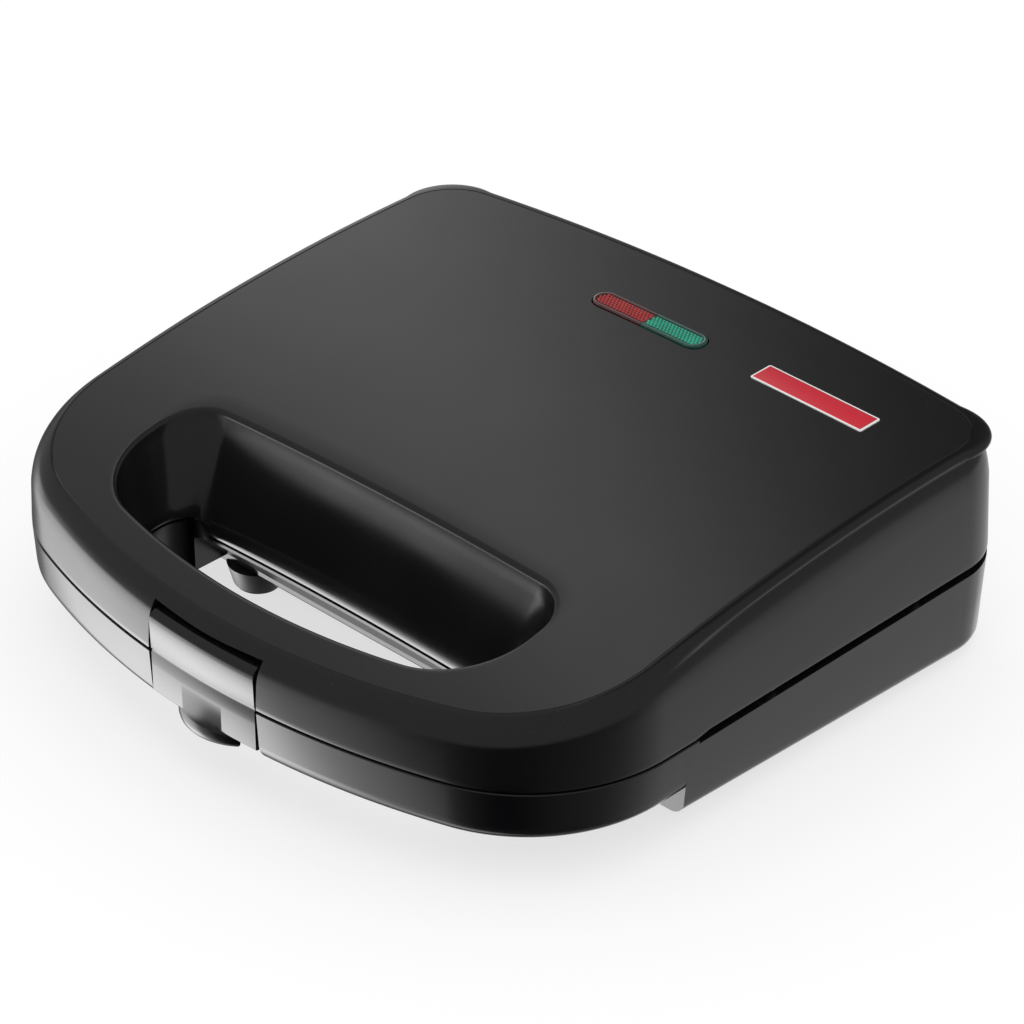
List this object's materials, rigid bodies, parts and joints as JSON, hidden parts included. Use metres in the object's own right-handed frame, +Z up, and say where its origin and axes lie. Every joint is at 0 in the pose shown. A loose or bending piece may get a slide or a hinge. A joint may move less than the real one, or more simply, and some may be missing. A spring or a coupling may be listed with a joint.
{
  "type": "sandwich toaster",
  "caption": "Closed countertop sandwich toaster: a domed lid hinged at the rear over a base on feet, pocketed hot plates between them, a front handle with a finger opening and a swinging latch.",
  "frame": {"origin": "on the table under the middle of the toaster's bounding box", "axes": "+Z up, -Y towards the handle and latch, +Y towards the hinge, +X to the right of a user at the handle"},
  "size_m": [0.235, 0.224, 0.0735],
  "materials": {
    "shell_black": "glossy moulded phenolic-look black",
    "frame_black": "satin moulded black",
    "plate_coated": "cast, with a dark non-stick coating",
    "heater_steel": "dull, heat-tinted tube",
    "sheet_aluminium": "plain rolled sheet",
    "screw_steel": "zinc plated",
    "lens_red": "clear tinted, with moulded prism dots below",
    "lens_green": "clear tinted, with moulded prism dots below",
    "lamp_white": "natural white nylon",
    "lamp_glass": "small neon lamp",
    "label_red": "plain glossy label with a pale edge",
    "ceramic_white": "unglazed ceramic",
    "wire_cover": "woven glass sleeve over copper",
    "hinge_steel": "zinc plated",
    "fuse_metal": "plain",
    "foot_rubber": "soft matt"
  },
  "bodies": {
    "base": {"lower_housing": "shell_black", "lower_frame": "frame_black", "lower_plate": "plate_coated", "lower_heater": "heater_steel", "lower_reflector": "sheet_aluminium", "lower_plate_screws": "screw_steel", "lower_case_screws": "screw_steel", "thermal_fuse": "fuse_metal", "terminal_block": "lamp_white", "lower_wiring": "wire_cover", "front_feet": "frame_black", "front_foot_pads": "foot_rubber", "rear_feet": "foot_rubber", "hinge_towers": "frame_black", "latch_catch": "frame_black", "cord_gland": "foot_rubber"},
    "lid": {"upper_cover": "shell_black", "upper_frame": "frame_black", "upper_plate": "plate_coated", "upper_heater": "heater_steel", "upper_reflector": "sheet_aluminium", "upper_plate_screws": "screw_steel", "upper_case_screws": "screw_steel", "lens_red": "lens_red", "lens_green": "lens_green", "lamp_holder": "lamp_white", "neon_lamps": "lamp_glass", "label_plate": "label_red", "thermostat": "ceramic_white", "upper_wiring": "wire_cover", "lid_hinge_arms": "hinge_steel", "hinge_pins": "hinge_steel", "latch_bracket": "frame_black", "latch_pin": "hinge_steel"},
    "latch": {"latch": "shell_black"}
  },
  "joints": [
    {"name": "lid_hinge", "type": "hinge", "parent": "base", "child": "lid", "pos_m": [0, 0.0985, 0.052], "axis": [-1, 0, 0], "range_deg": [0, 105]},
    {"name": "latch_hinge", "type": "hinge", "parent": "lid", "child": "latch", "pos_m": [0, -0.1038, 0.0416], "axis": [-1, 0, 0], "range_deg": [0, 35]}
  ]
}
